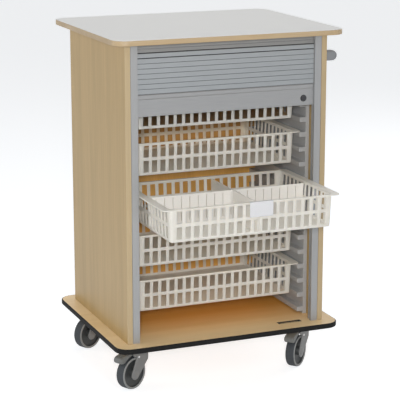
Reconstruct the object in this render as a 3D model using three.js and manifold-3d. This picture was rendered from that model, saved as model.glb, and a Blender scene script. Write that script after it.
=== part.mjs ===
// Mobile storage trolley: a birch carcass on swivel castors, a roller shutter in aluminium guides,
// and slotted baskets that slide on moulded runner walls. One basket is pulled out.
// Millimetres, +Z up, the front faces -Y. The origin is on the floor, under the middle of the trolley.

import * as THREE from 'three';
import { mergeVertices } from 'three/addons/utils/BufferGeometryUtils.js';
import Module from 'manifold-3d';

const wasm = await Module();
wasm.setup();

// Carcass boards
const BODY_HEIGHT = 960;
const SIDE_BOARD = 18;
const TOP_BOARD = 15.8;
const TOP_LAMINATE = 1.2;
const TOP_LAMINATE_INSET = 1.5;
const BASE_BOARD = 17;
const PLATE_SIDE_OVERHANG = 46;
const PLATE_END_OVERHANG = 50;
const PLATE_CORNER = 47;
const BUMPER_BAND = 3;
const BACK_BOARD = 8;
const INNER_BACK_BOARD = 5;
const INNER_BACK_TOP_GAP = 20;
const CURTAIN_WELL = 44.7;

// Shutter guides: a channel on the inner face of each side board
const GUIDE_WIDTH = 24;
const GUIDE_PASS_GAP = 3;
const GUIDE_WALL = 2.4;
const GUIDE_LIP_DEPTH = 11;
const GUIDE_REAR_LIP = 3;
const GUIDE_REAR_LIP_INSET = 4;
const GUIDE_REVEAL = 1.2;

// Shutter curtain and its bottom rail
const SLAT_PITCH = 15.9;
const SLAT_THICKNESS = 7;
const SLAT_GROOVE = 1.4;
const SLAT_GROOVE_DEPTH = 2;
const CURTAIN_GAP = 0.5;
const CURTAIN_SIDE_GAP = 0.6;
const CURTAIN_TOP_GAP = 6;
const BEND_LEAN = 3.5;
const SHUTTER_DROP = 230;
const RAIL_HEIGHT = 69;
const RAIL_LIP_HEIGHT = 16;
const RAIL_LIP_PROUD = 3;
const RAIL_END_GAP = 1.5;
const REAR_CURTAIN_RISE = 6;

// Lock in the bottom rail, and its keep in the base plate
const LOCK_INSET = 34;
const LOCK_RISE = 23;
const LOCK_BARREL_RADIUS = 8;
const LOCK_BARREL_PROUD = 2.6;
const LOCK_ROSETTE_RADIUS = 11;
const LOCK_ROSETTE_THICKNESS = 1.6;
const KEYWAY_WIDTH = 1.6;
const KEYWAY_LENGTH = 9;
const KEYWAY_DEPTH = 1.4;
const KEEP_LENGTH = 84;
const KEEP_WIDTH = 20;
const KEEP_DEPTH = 4;
const KEEP_SLOT_LENGTH = 70;
const KEEP_SLOT_WIDTH = 13;
const KEEP_INSET = 28;

// Runner walls
const LEDGE_PITCH = 50;
const FIRST_LEDGE = 26;
const LEDGE_HEIGHT = 16;
const LEDGE_OVERLAP = 8;
const RUNNER_WALL = 13;
const RUNNER_FRONT = 82;
const RUNNER_TOP_GAP = 8;

// Baskets
const FLANGE_WIDTH = 600;
const FLANGE_DEPTH = 400;
const FLANGE_THICKNESS = 3.5;
const FLANGE_CORNER = 16;
const SIDE_FLANGE = 24;
const END_FLANGE = 8;
const BASKET_HEIGHT = 106;
const BASKET_WALL = 2.5;
const BASKET_FLOOR = 3;
const BASKET_TAPER = 5;
const BASKET_CORNER = 14;
const SLOT_PITCH = 28.6;
const SLOT_WIDTH = 17.6;
const SLOT_HEIGHT = 38;
const SLOT_ROW_GAP = 11;
const SLOT_TOP_MARGIN = 9;
const BASKET_PROUD = 1;
const BASKET_COUNT = 5;
const LEDGES_PER_BASKET = 3;
const OPEN_BASKET = 'basket_3';
const OPEN_PULL = 284;

// Dividers and label clip of the open basket
const DIVIDER_THICKNESS = 3;
const DIVIDER_DROP = 7;
const DIVIDER_END_GAP = 0.4;
const LONG_DIVIDER_OFFSET = 11;
const CROSS_DIVIDER_OFFSET = 21;
const LABEL_WIDTH = 79;
const LABEL_HEIGHT = 48;
const LABEL_OFFSET = 25;
const LABEL_SHEET = 1.2;

// Push handle on the right side
const HANDLE_DROP = 75;
const HANDLE_FRONT = 12;
const HANDLE_REAR_MARGIN = 12;
const HANDLE_REACH = 45;
const BRACKET_LENGTH = 32;
const BRACKET_TALL = 33;
const HANDLE_BAR_RADIUS = 10;
const HANDLE_BAR_MARGIN = 2;

// Castors
const CASTOR_SIDE_INSET = 54.5;
const CASTOR_FRONT_INSET = 52;
const CASTOR_REAR_INSET = 50;
const CASTOR_TRAIL = 36;
const WHEEL_RADIUS = 53;
const WHEEL_WIDTH = 31;
const TYRE_THICKNESS = 7;
const TYRE_SHOULDER = 3.5;
const HUB_WIDTH = 29;
const HUB_WEB = 10;
const HUB_BOSS_RADIUS = 14;
const HUB_RIM = 7;
const AXLE_RADIUS = 6;
const AXLE_END = 2.5;
const CASTOR_PLATE_LENGTH = 92;
const CASTOR_PLATE_WIDTH = 72;
const CASTOR_PLATE_CORNER = 6;
const CASTOR_PLATE = 3;
const HEAD_RADIUS = 30;
const HEAD_HEIGHT = 14.5;
const STUD_RADIUS = 8;
const CROWN_RADIUS = 29;
const CROWN_HEIGHT = 9.5;
const FORK_ARM = 5;
const FORK_SIDE_GAP = 2;
const FORK_END_RADIUS = 16;
const FORK_HEEL = 25;
const FORK_EAR = 42;
const FORK_EAR_DROP = 13;
const PEDAL_PIVOT_X = 36;
const PEDAL_PIVOT_DROP = 24.5;
const PEDAL_PIN_RADIUS = 3;
const PEDAL_REACH = 100;
const PEDAL_HEEL = 5;
const PEDAL_SIDE_GAP = 0.4;
const PEDAL_THICKNESS = 18;
const PEDAL_TOE_DROP = 9;
const PEDAL_TYRE_GAP = 3.5;
const LEFT_CASTOR_DEGREES = -153;
const RIGHT_CASTOR_DEGREES = -139;

// Fits and facets
const CLEARANCE = 0.3;
const CUT_MARGIN = 2;
const ARC_STEPS = 3;
const PLATE_STEPS = 8;
const ROUND_STEPS = 20;
const PIN_STEPS = 12;

// Sizes that follow from those above
const GUIDE_INNER = FLANGE_WIDTH / 2 + GUIDE_PASS_GAP;
const INNER_HALF = GUIDE_INNER + GUIDE_WIDTH;
const HALF_BODY = INNER_HALF + SIDE_BOARD;
const RUNNER_DEPTH = FLANGE_DEPTH;
const INNER_BACK_FRONT = RUNNER_FRONT + RUNNER_DEPTH + CLEARANCE;
const BODY_DEPTH = INNER_BACK_FRONT + INNER_BACK_BOARD + CURTAIN_WELL + BACK_BOARD;
const RUNNER_TOP = BODY_HEIGHT - RUNNER_TOP_GAP;
const LEDGE_COUNT = 1 + Math.floor((RUNNER_TOP - FIRST_LEDGE) / LEDGE_PITCH);
const PLATE_WIDTH = 2 * (HALF_BODY + PLATE_SIDE_OVERHANG);
const PLATE_DEPTH = BODY_DEPTH + 2 * PLATE_END_OVERHANG;
const PLATE_MIDDLE = BODY_DEPTH / 2;
const CASTOR_HEIGHT = PEDAL_PIVOT_DROP + PEDAL_THICKNESS / 2 + PEDAL_TYRE_GAP + 2 * WHEEL_RADIUS;
const FLOOR_LEVEL = -(BASE_BOARD + CASTOR_HEIGHT);
const SLOT_FRONT = GUIDE_LIP_DEPTH;
const FRONT_CURTAIN_Y = SLOT_FRONT + CLEARANCE;
const REAR_CURTAIN_Y = FRONT_CURTAIN_Y + SLAT_THICKNESS + CURTAIN_GAP;
const SLOT_REAR = REAR_CURTAIN_Y + SLAT_THICKNESS + CLEARANCE;
const CURTAIN_HALF = INNER_HALF - GUIDE_WALL - CURTAIN_SIDE_GAP;
const RAIL_BOTTOM = BODY_HEIGHT - SHUTTER_DROP;
const RAIL_TOP = RAIL_BOTTOM + RAIL_HEIGHT;
const LOCK_X = GUIDE_INNER - LOCK_INSET;
const LOCK_LEVEL = RAIL_BOTTOM + LOCK_RISE;
const BASKET_WIDTH = FLANGE_WIDTH - 2 * SIDE_FLANGE;
const BASKET_DEPTH = FLANGE_DEPTH - 2 * END_FLANGE;
const BASKET_FRONT = RUNNER_FRONT - BASKET_PROUD;
const BASKET_MIDDLE = BASKET_FRONT + FLANGE_DEPTH / 2;
const HANDLE_LEVEL = BODY_HEIGHT - HANDLE_DROP;
const HANDLE_REAR = BODY_DEPTH - HANDLE_REAR_MARGIN;
const OPEN_FRONT = BASKET_FRONT - OPEN_PULL - LABEL_SHEET - CLEARANCE;
const PLATE_BACK = BODY_DEPTH + PLATE_END_OVERHANG;
const TROLLEY_MIDDLE = (OPEN_FRONT + PLATE_BACK) / 2;

const X_AXIS = new THREE.Vector3(1, 0, 0);
const Y_AXIS = new THREE.Vector3(0, 1, 0);
const Z_AXIS = new THREE.Vector3(0, 0, 1);

function finish(color, roughness, metalness) {
  return new THREE.MeshStandardMaterial({ color, roughness, metalness });
}

const BIRCH = finish(0xdfc493, 0.55, 0);
const LAMINATE = finish(0xe4e4e2, 0.5, 0);
const BLACK_RUBBER = finish(0x1b1b1d, 0.75, 0);
const ALUMINIUM = finish(0xa9abae, 0.4, 0.8);
const SHUTTER_GREY = finish(0xa6a7aa, 0.5, 0.2);
const LOCK_STEEL = finish(0x5c5c60, 0.35, 0.9);
const RUNNER_PLASTIC = finish(0xcfcdc8, 0.5, 0);
const BASKET_PLASTIC = finish(0xece6d8, 0.45, 0);
const DIVIDER_PLASTIC = finish(0xf1eee6, 0.4, 0);
const CARD_WHITE = finish(0xf7f7f5, 0.5, 0);
const HANDLE_GREY = finish(0x9b9da0, 0.5, 0.1);
const CASTOR_GREY = finish(0x77797c, 0.5, 0.1);
const CASTOR_STEEL = finish(0x9a9ca0, 0.4, 0.9);
const TYRE_RUBBER = finish(0x3b3e44, 0.8, 0);
const HUB_PLASTIC = finish(0x4b4d51, 0.6, 0);

// Closed meshes to solids for cutting and joining, and back.
function toSolid(geometry) {
  const bare = geometry.clone();
  bare.deleteAttribute('normal');
  bare.deleteAttribute('uv');
  const welded = mergeVertices(bare);
  const vertProperties = Float32Array.from(welded.attributes.position.array);
  const triVerts = Uint32Array.from(welded.index.array);
  return new wasm.Manifold(new wasm.Mesh({ numProp: 3, vertProperties, triVerts }));
}

function toGeometry(solid) {
  const { vertProperties, triVerts } = solid.getMesh();
  const geometry = new THREE.BufferGeometry();
  geometry.setAttribute('position', new THREE.BufferAttribute(vertProperties, 3));
  geometry.setIndex(new THREE.BufferAttribute(triVerts, 1));
  geometry.computeVertexNormals();
  return geometry;
}

function cut(body, ...tools) {
  return toGeometry(tools.reduce((left, tool) => left.subtract(toSolid(tool)), toSolid(body)));
}

function join(...bodies) {
  return toGeometry(bodies.map(toSolid).reduce((all, body) => all.add(body)));
}

// Outlines and extrusions
function polygon(points) {
  return new THREE.Shape(points.map(([x, y]) => new THREE.Vector2(x, y)));
}

// The same outline on the right, or mirrored to the left.
const SIDES = [['left', -1], ['right', 1]];
const onSide = (points, sign) => polygon(points.map(([x, y]) => [sign * x, y]));

function roundedRectangle(width, depth, radius) {
  const shape = new THREE.Shape();
  const x = width / 2 - radius;
  const y = depth / 2 - radius;
  const quarter = Math.PI / 2;
  const corners = [[x, -y], [x, y], [-x, y], [-x, -y]];
  corners.forEach(([cx, cy], at) => shape.absarc(cx, cy, radius, (at - 1) * quarter, at * quarter));
  return shape;
}

function extrudeZ(shape, low, high, steps = ARC_STEPS) {
  const settings = { depth: high - low, bevelEnabled: false, curveSegments: steps };
  return new THREE.ExtrudeGeometry(shape, settings).translate(0, 0, low);
}

// The outline's axes become X and Z, and it runs from one Y to another.
function extrudeY(shape, front, back) {
  return extrudeZ(shape, 0, back - front).rotateX(Math.PI / 2).translate(0, back, 0);
}

// The outline's axes become Y and Z, and it runs from one X to another.
function extrudeX(shape, left, right) {
  return extrudeZ(shape, left, right).applyMatrix4(new THREE.Matrix4().makeBasis(Y_AXIS, Z_AXIS, X_AXIS));
}

function block([x0, x1], [y0, y1], [z0, z1]) {
  const box = new THREE.BoxGeometry(x1 - x0, y1 - y0, z1 - z0);
  return box.translate((x0 + x1) / 2, (y0 + y1) / 2, (z0 + z1) / 2);
}

function rodY(radius, front, back, steps = PIN_STEPS) {
  const rod = new THREE.CylinderGeometry(radius, radius, back - front, steps);
  return rod.translate(0, (front + back) / 2, 0);
}

function rodZ(radius, low, high, steps = ROUND_STEPS) {
  return rodY(radius, low, high, steps).rotateX(Math.PI / 2);
}

// A ring about Y, from its half-section of [radius, place] points.
function turned(section, steps = ROUND_STEPS) {
  const points = [...section, section[0]].map(([radius, place]) => new THREE.Vector2(radius, place));
  return new THREE.LatheGeometry(points, steps);
}

function addPart(parent, name, geometry, material) {
  const mesh = new THREE.Mesh(geometry, material);
  mesh.name = name;
  parent.add(mesh);
  return mesh;
}

// The boards: base with its rubber band, sides, two backs, and the top with its laminate.
function addCarcass(cabinet) {
  const plate = (inset) => (
    roundedRectangle(PLATE_WIDTH - 2 * inset, PLATE_DEPTH - 2 * inset, PLATE_CORNER - inset)
  );
  const place = (shape, low, high) => extrudeZ(shape, low, high, PLATE_STEPS).translate(0, PLATE_MIDDLE, 0);

  const keepMiddle = GUIDE_INNER - KEEP_INSET - KEEP_LENGTH / 2;
  const keepY = (SLOT_FRONT + SLOT_REAR) / 2;
  const across = (size, slack) => [keepMiddle - size / 2 - slack, keepMiddle + size / 2 + slack];
  const along = (size, slack) => [keepY - size / 2 - slack, keepY + size / 2 + slack];
  const pocketDepth = [-KEEP_DEPTH, CUT_MARGIN];
  const pocket = block(across(KEEP_LENGTH, CLEARANCE), along(KEEP_WIDTH, CLEARANCE), pocketDepth);
  const keep = block(across(KEEP_LENGTH, 0), along(KEEP_WIDTH, 0), [CLEARANCE - KEEP_DEPTH, 0]);
  const keepSlot = block(across(KEEP_SLOT_LENGTH, 0), along(KEEP_SLOT_WIDTH, 0), [-BASE_BOARD, CUT_MARGIN]);

  addPart(cabinet, 'base_plate', cut(place(plate(BUMPER_BAND), -BASE_BOARD, 0), pocket), BIRCH);
  addPart(cabinet, 'lock_keep', cut(keep, keepSlot), LOCK_STEEL);

  const band = plate(0);
  band.holes.push(plate(BUMPER_BAND));
  addPart(cabinet, 'base_bumper', place(band, -BASE_BOARD, 0), BLACK_RUBBER);

  for (const [side, sign] of SIDES) {
    const board = new THREE.BoxGeometry(SIDE_BOARD, BODY_DEPTH, BODY_HEIGHT);
    const panel = addPart(cabinet, `${side}_side_panel`, board, BIRCH);
    panel.position.set(sign * (HALF_BODY - SIDE_BOARD / 2), BODY_DEPTH / 2, BODY_HEIGHT / 2);
  }

  const acrossBody = [-INNER_HALF, INNER_HALF];
  const back = block(acrossBody, [BODY_DEPTH - BACK_BOARD, BODY_DEPTH], [0, BODY_HEIGHT]);
  addPart(cabinet, 'back_panel', back, BIRCH);
  const innerBackDepth = [INNER_BACK_FRONT, INNER_BACK_FRONT + INNER_BACK_BOARD];
  const innerBack = block(acrossBody, innerBackDepth, [0, BODY_HEIGHT - INNER_BACK_TOP_GAP]);
  addPart(cabinet, 'inner_back_panel', innerBack, BIRCH);

  const topLevel = BODY_HEIGHT + TOP_BOARD;
  addPart(cabinet, 'top_plate', place(plate(0), BODY_HEIGHT, topLevel), BIRCH);
  const sheet = place(plate(TOP_LAMINATE_INSET), topLevel, topLevel + TOP_LAMINATE);
  addPart(cabinet, 'top_laminate', sheet, LAMINATE);
}

// Two aluminium channels. The curtain's edges run between the front lip and the rear lip.
function addGuides(cabinet) {
  const rearInner = GUIDE_INNER + GUIDE_REAR_LIP_INSET;
  const rearFace = SLOT_REAR + GUIDE_REAR_LIP;
  const slotWall = INNER_HALF - GUIDE_WALL;
  const faceEnd = INNER_HALF - GUIDE_REVEAL;
  const section = [
    [GUIDE_INNER, 0], [faceEnd, 0], [faceEnd, GUIDE_WALL], [INNER_HALF, GUIDE_WALL],
    [INNER_HALF, rearFace], [rearInner, rearFace], [rearInner, SLOT_REAR],
    [slotWall, SLOT_REAR], [slotWall, GUIDE_WALL], [GUIDE_INNER + GUIDE_WALL, GUIDE_WALL],
    [GUIDE_INNER + GUIDE_WALL, SLOT_FRONT], [GUIDE_INNER, SLOT_FRONT],
  ];
  for (const [side, sign] of SIDES) {
    addPart(cabinet, `${side}_shutter_guide`, extrudeZ(onSide(section, sign), 0, BODY_HEIGHT), ALUMINIUM);
  }
}

// A length of curtain: flat slats with a groove at each joint. The top one leans back where the bend begins.
function curtainOutline(front, low, high) {
  const back = front + SLAT_THICKNESS;
  const bend = [[back, high - SLAT_PITCH], [back + CURTAIN_GAP / 2, high], [front + BEND_LEAN, high]];
  const joints = [];
  for (let joint = low + SLAT_PITCH; joint < high; joint += SLAT_PITCH) {
    const groove = [[front, SLAT_GROOVE / 2], [front + SLAT_GROOVE_DEPTH, 0], [front, -SLAT_GROOVE / 2]];
    joints.unshift(...groove.map(([y, rise]) => [y, joint + rise]));
  }
  return polygon([[back, low], ...bend, ...joints, [front, low]]);
}

function addShutter(cabinet) {
  const curtainTop = BODY_HEIGHT - CURTAIN_TOP_GAP;
  const curtain = (front, low) => {
    const outline = curtainOutline(front, low, curtainTop);
    return extrudeX(outline, -CURTAIN_HALF, CURTAIN_HALF);
  };
  addPart(cabinet, 'shutter_front_curtain', curtain(FRONT_CURTAIN_Y, RAIL_TOP), SHUTTER_GREY);
  const rearCurtain = curtain(REAR_CURTAIN_Y, RAIL_BOTTOM + REAR_CURTAIN_RISE);
  addPart(cabinet, 'shutter_rear_curtain', rearCurtain, SHUTTER_GREY);

  const railBack = FRONT_CURTAIN_Y + SLAT_THICKNESS;
  const tongue = block([-CURTAIN_HALF, CURTAIN_HALF], [FRONT_CURTAIN_Y, railBack], [RAIL_BOTTOM, RAIL_TOP]);
  const lipLow = RAIL_TOP - RAIL_LIP_HEIGHT;
  const lipFront = FRONT_CURTAIN_Y - RAIL_LIP_PROUD;
  const lip = polygon([
    [railBack, lipLow], [railBack, RAIL_TOP], [FRONT_CURTAIN_Y, RAIL_TOP],
    [lipFront, RAIL_TOP - RAIL_LIP_PROUD], [lipFront, lipLow + RAIL_LIP_PROUD], [FRONT_CURTAIN_Y, lipLow],
  ]);
  const lipHalf = GUIDE_INNER - RAIL_END_GAP;
  const rail = join(tongue, extrudeX(lip, -lipHalf, lipHalf));
  const boreRadius = LOCK_BARREL_RADIUS + CLEARANCE;
  const lockBore = rodY(boreRadius, lipFront, railBack + CUT_MARGIN).translate(LOCK_X, 0, LOCK_LEVEL);
  addPart(cabinet, 'shutter_bottom_rail', cut(rail, lockBore), ALUMINIUM);

  const rosetteFront = FRONT_CURTAIN_Y - LOCK_ROSETTE_THICKNESS;
  const rosette = turned([
    [boreRadius, rosetteFront], [LOCK_ROSETTE_RADIUS, rosetteFront],
    [LOCK_ROSETTE_RADIUS, FRONT_CURTAIN_Y], [boreRadius, FRONT_CURTAIN_Y],
  ]);
  addPart(cabinet, 'lock_rosette', rosette, LOCK_STEEL).position.set(LOCK_X, 0, LOCK_LEVEL);
  const barrelFront = FRONT_CURTAIN_Y - LOCK_BARREL_PROUD;
  const keyWide = KEYWAY_WIDTH / 2;
  const keyTall = KEYWAY_LENGTH / 2;
  const keyDeep = [barrelFront - CUT_MARGIN, barrelFront + KEYWAY_DEPTH];
  const keyway = block([-keyWide, keyWide], keyDeep, [-keyTall, keyTall]);
  const barrel = cut(rodY(LOCK_BARREL_RADIUS, barrelFront, railBack, ROUND_STEPS), keyway);
  addPart(cabinet, 'lock_barrel', barrel, LOCK_STEEL).position.set(LOCK_X, 0, LOCK_LEVEL);
}

// Moulded walls with a ledge at every step of the basket pitch.
function addRunnerWalls(cabinet) {
  const wallFace = INNER_HALF - RUNNER_WALL;
  const ledgeTip = FLANGE_WIDTH / 2 - LEDGE_OVERLAP;
  const points = [[INNER_HALF, 0], [INNER_HALF, RUNNER_TOP], [wallFace, RUNNER_TOP]];
  for (let ledge = LEDGE_COUNT - 1; ledge >= 0; ledge -= 1) {
    const level = FIRST_LEDGE + ledge * LEDGE_PITCH;
    const under = level - LEDGE_HEIGHT;
    points.push([wallFace, level], [ledgeTip, level], [ledgeTip, under], [wallFace, under]);
  }
  points.push([wallFace, 0]);
  for (const [side, sign] of SIDES) {
    const wall = extrudeY(onSide(points, sign), RUNNER_FRONT, RUNNER_FRONT + RUNNER_DEPTH);
    addPart(cabinet, `${side}_runner_wall`, wall, RUNNER_PLASTIC);
  }
}

// A box with rounded upright edges that narrows by taper on each side towards its floor. Its rim is at z = 0.
function taperedBox(width, depth, height, taper, corner) {
  const geometry = extrudeZ(roundedRectangle(width, depth, corner), -height, 0);
  const { position } = geometry.attributes;
  for (let at = 0; at < position.count; at += 1) {
    const inward = taper * (-position.getZ(at) / height);
    position.setX(at, position.getX(at) - Math.sign(position.getX(at)) * inward);
    position.setY(at, position.getY(at) - Math.sign(position.getY(at)) * inward);
  }
  return geometry;
}

// The slots along one wall, as ranges about its middle.
function slotRow(length) {
  const count = Math.floor((length - 2 * BASKET_CORNER) / SLOT_PITCH);
  const middles = Array.from({ length: count }, (_, column) => (column - (count - 1) / 2) * SLOT_PITCH);
  return middles.map((middle) => [middle - SLOT_WIDTH / 2, middle + SLOT_WIDTH / 2]);
}

function basketGeometry() {
  const wellDepth = BASKET_HEIGHT - BASKET_FLOOR;
  const wellTaper = BASKET_TAPER * wellDepth / BASKET_HEIGHT;
  const mouthWidth = BASKET_WIDTH - 2 * BASKET_WALL;
  const mouthDepth = BASKET_DEPTH - 2 * BASKET_WALL;
  const mouthCorner = BASKET_CORNER - BASKET_WALL;
  const shell = taperedBox(BASKET_WIDTH, BASKET_DEPTH, BASKET_HEIGHT, BASKET_TAPER, BASKET_CORNER);
  const flangeOutline = roundedRectangle(FLANGE_WIDTH, FLANGE_DEPTH, FLANGE_CORNER);
  const flange = extrudeZ(flangeOutline, -FLANGE_THICKNESS, 0);
  const well = taperedBox(mouthWidth, mouthDepth, wellDepth, wellTaper, mouthCorner);
  const mouth = extrudeZ(roundedRectangle(mouthWidth, mouthDepth, mouthCorner), -CLEARANCE, CUT_MARGIN);

  const throughWidth = [-FLANGE_WIDTH / 2, FLANGE_WIDTH / 2];
  const throughDepth = [-FLANGE_DEPTH / 2, FLANGE_DEPTH / 2];
  const slots = [];
  for (const row of [0, 1]) {
    const top = -(SLOT_TOP_MARGIN + row * (SLOT_HEIGHT + SLOT_ROW_GAP));
    const heights = [top - SLOT_HEIGHT, top];
    slots.push(...slotRow(BASKET_WIDTH).map((slot) => block(slot, throughDepth, heights)));
    slots.push(...slotRow(BASKET_DEPTH).map((slot) => block(throughWidth, slot, heights)));
  }
  return cut(join(shell, flange), well, mouth, ...slots);
}

function addBaskets(cabinet) {
  const geometry = basketGeometry();
  for (let index = 0; index < BASKET_COUNT; index += 1) {
    const ledge = (BASKET_COUNT - index) * LEDGES_PER_BASKET;
    const rim = FIRST_LEDGE + ledge * LEDGE_PITCH + CLEARANCE + FLANGE_THICKNESS;
    const name = `basket_${index + 1}`;
    const basket = new THREE.Group();
    basket.position.set(0, BASKET_MIDDLE - (name === OPEN_BASKET ? OPEN_PULL : 0), rim);
    cabinet.add(basket);
    addPart(basket, name, geometry, BASKET_PLASTIC);
    if (name === OPEN_BASKET) addBasketFittings(basket);
  }
}

// Two dividers that cross in half-laps, and a clip-on label holder over the front rim.
function addBasketFittings(basket) {
  const floor = CLEARANCE - (BASKET_HEIGHT - BASKET_FLOOR);
  const top = -DIVIDER_DROP;
  const halfLap = (floor + top) / 2;
  const half = DIVIDER_THICKNESS / 2;
  const inward = (level) => BASKET_TAPER * (-level / BASKET_HEIGHT) + BASKET_WALL + DIVIDER_END_GAP;
  const plate = (outer) => {
    const low = outer - inward(floor);
    const high = outer - inward(top);
    return polygon([[-low, floor], [low, floor], [high, top], [-high, top]]);
  };
  const about = (middle, reach) => [middle - reach, middle + reach];
  const lap = half + CLEARANCE;

  const longPlate = extrudeY(plate(BASKET_WIDTH / 2), ...about(LONG_DIVIDER_OFFSET, half));
  const longHeights = [halfLap, top + CUT_MARGIN];
  const longNotch = block(about(CROSS_DIVIDER_OFFSET, lap), about(0, BASKET_DEPTH), longHeights);
  addPart(basket, 'long_divider', cut(longPlate, longNotch), DIVIDER_PLASTIC);

  const crossPlate = extrudeX(plate(BASKET_DEPTH / 2), ...about(CROSS_DIVIDER_OFFSET, half));
  const crossHeights = [floor - CUT_MARGIN, halfLap + CLEARANCE];
  const crossNotch = block(about(0, BASKET_WIDTH), about(LONG_DIVIDER_OFFSET, lap), crossHeights);
  addPart(basket, 'cross_divider', cut(crossPlate, crossNotch), DIVIDER_PLASTIC);

  const rimFront = -FLANGE_DEPTH / 2;
  const inner = rimFront - CLEARANCE;
  const outer = inner - LABEL_SHEET;
  const hookEnd = rimFront + END_FLANGE;
  const clipTop = CLEARANCE + LABEL_SHEET;
  const clipBottom = clipTop - LABEL_HEIGHT;
  const clip = polygon([
    [outer, clipBottom], [inner, clipBottom], [inner, CLEARANCE],
    [hookEnd, CLEARANCE], [hookEnd, clipTop], [outer, clipTop],
  ]);
  addPart(basket, 'label_clip', extrudeX(clip, ...about(LABEL_OFFSET, LABEL_WIDTH / 2)), CARD_WHITE);
}

// A bar between two round-nosed brackets on the right side board.
function addHandle(cabinet) {
  const nose = BRACKET_TALL / 2;
  const bracket = new THREE.Shape();
  bracket.moveTo(0, -nose);
  bracket.lineTo(HANDLE_REACH - nose, -nose);
  bracket.absarc(HANDLE_REACH - nose, 0, nose, -Math.PI / 2, Math.PI / 2);
  bracket.lineTo(0, nose);
  const handle = new THREE.Group();
  handle.position.set(HALF_BODY, 0, HANDLE_LEVEL);
  cabinet.add(handle);
  const frontEnd = HANDLE_FRONT + BRACKET_LENGTH;
  const rearEnd = HANDLE_REAR - BRACKET_LENGTH;
  addPart(handle, 'handle_front_bracket', extrudeY(bracket, HANDLE_FRONT, frontEnd), HANDLE_GREY);
  addPart(handle, 'handle_rear_bracket', extrudeY(bracket, rearEnd, HANDLE_REAR), HANDLE_GREY);
  const bar = rodY(HANDLE_BAR_RADIUS, frontEnd, rearEnd, ROUND_STEPS);
  const handleBar = addPart(handle, 'handle_bar', bar, ALUMINIUM);
  handleBar.position.x = HANDLE_REACH - HANDLE_BAR_MARGIN - HANDLE_BAR_RADIUS;
}

// One swivel castor. Its z = 0 is the underside of the base plate, and its wheel trails along its own +X.
const HEAD_TOP = -CASTOR_PLATE;
const HEAD_BOTTOM = HEAD_TOP - HEAD_HEIGHT;
const CROWN_TOP = HEAD_BOTTOM - CLEARANCE;
const CROWN_BOTTOM = CROWN_TOP - CROWN_HEIGHT;
const AXLE_LEVEL = WHEEL_RADIUS - CASTOR_HEIGHT;
const ARM_INNER = WHEEL_WIDTH / 2 + FORK_SIDE_GAP;
const ARM_OUTER = ARM_INNER + FORK_ARM;

function forkGeometry(withEars) {
  const ear = withEars ? FORK_EAR : FORK_HEEL;
  const outline = new THREE.Shape();
  outline.moveTo(-FORK_HEEL, CROWN_TOP);
  outline.quadraticCurveTo(-FORK_HEEL, AXLE_LEVEL / 2, CASTOR_TRAIL - FORK_END_RADIUS, AXLE_LEVEL);
  outline.absarc(CASTOR_TRAIL, AXLE_LEVEL, FORK_END_RADIUS, Math.PI, 2 * Math.PI);
  outline.lineTo(ear, CROWN_TOP - 2 * FORK_EAR_DROP);
  outline.lineTo(ear, CROWN_TOP);
  const arms = [extrudeY(outline, -ARM_OUTER, -ARM_INNER), extrudeY(outline, ARM_INNER, ARM_OUTER)];
  const crown = rodZ(CROWN_RADIUS, CROWN_BOTTOM, CROWN_TOP);
  const stud = rodZ(STUD_RADIUS, CROWN_TOP - CLEARANCE, HEAD_TOP - CLEARANCE, PIN_STEPS);
  const reach = ARM_OUTER + CUT_MARGIN;
  const axleBore = rodY(AXLE_RADIUS + CLEARANCE, -reach, reach).translate(CASTOR_TRAIL, 0, AXLE_LEVEL);
  const pinBore = rodY(PEDAL_PIN_RADIUS + CLEARANCE, -reach, reach);
  pinBore.translate(PEDAL_PIVOT_X, 0, -PEDAL_PIVOT_DROP);
  return cut(join(crown, stud, ...arms), axleBore, ...(withEars ? [pinBore] : []));
}

function pedalGeometry() {
  const heel = PEDAL_PIVOT_X - PEDAL_HEEL;
  const half = PEDAL_THICKNESS / 2;
  const pivot = -PEDAL_PIVOT_DROP;
  const toe = PEDAL_REACH - half;
  const outline = new THREE.Shape();
  outline.moveTo(heel, pivot - half);
  outline.lineTo(PEDAL_PIVOT_X + PEDAL_HEEL, pivot - half);
  outline.lineTo(toe, pivot - PEDAL_TOE_DROP - half);
  outline.absarc(toe, pivot - PEDAL_TOE_DROP, half, -Math.PI / 2, Math.PI / 2);
  outline.lineTo(PEDAL_PIVOT_X + PEDAL_HEEL, pivot + half);
  outline.lineTo(heel, pivot + half);
  const side = ARM_INNER - PEDAL_SIDE_GAP;
  const pinEnd = ARM_OUTER - PEDAL_SIDE_GAP;
  const pin = rodY(PEDAL_PIN_RADIUS, -pinEnd, pinEnd).translate(PEDAL_PIVOT_X, 0, pivot);
  return join(extrudeY(outline, -side, side), pin);
}

function tyreGeometry() {
  const half = WHEEL_WIDTH / 2;
  const inner = WHEEL_RADIUS - TYRE_THICKNESS;
  return turned([
    [inner, -half], [WHEEL_RADIUS - TYRE_SHOULDER, -half], [WHEEL_RADIUS, -half + TYRE_SHOULDER],
    [WHEEL_RADIUS, half - TYRE_SHOULDER], [WHEEL_RADIUS - TYRE_SHOULDER, half], [inner, half],
  ]);
}

function hubGeometry() {
  const bore = AXLE_RADIUS + CLEARANCE;
  const rim = WHEEL_RADIUS - TYRE_THICKNESS - CLEARANCE;
  const rimInside = rim - HUB_RIM;
  const half = HUB_WIDTH / 2;
  const web = HUB_WEB / 2;
  const boss = ARM_INNER - CLEARANCE;
  return turned([
    [bore, -boss], [HUB_BOSS_RADIUS, -boss], [HUB_BOSS_RADIUS, -web], [rimInside, -web], [rimInside, -half],
    [rim, -half], [rim, half], [rimInside, half], [rimInside, web], [HUB_BOSS_RADIUS, web],
    [HUB_BOSS_RADIUS, boss], [bore, boss],
  ]);
}

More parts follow.
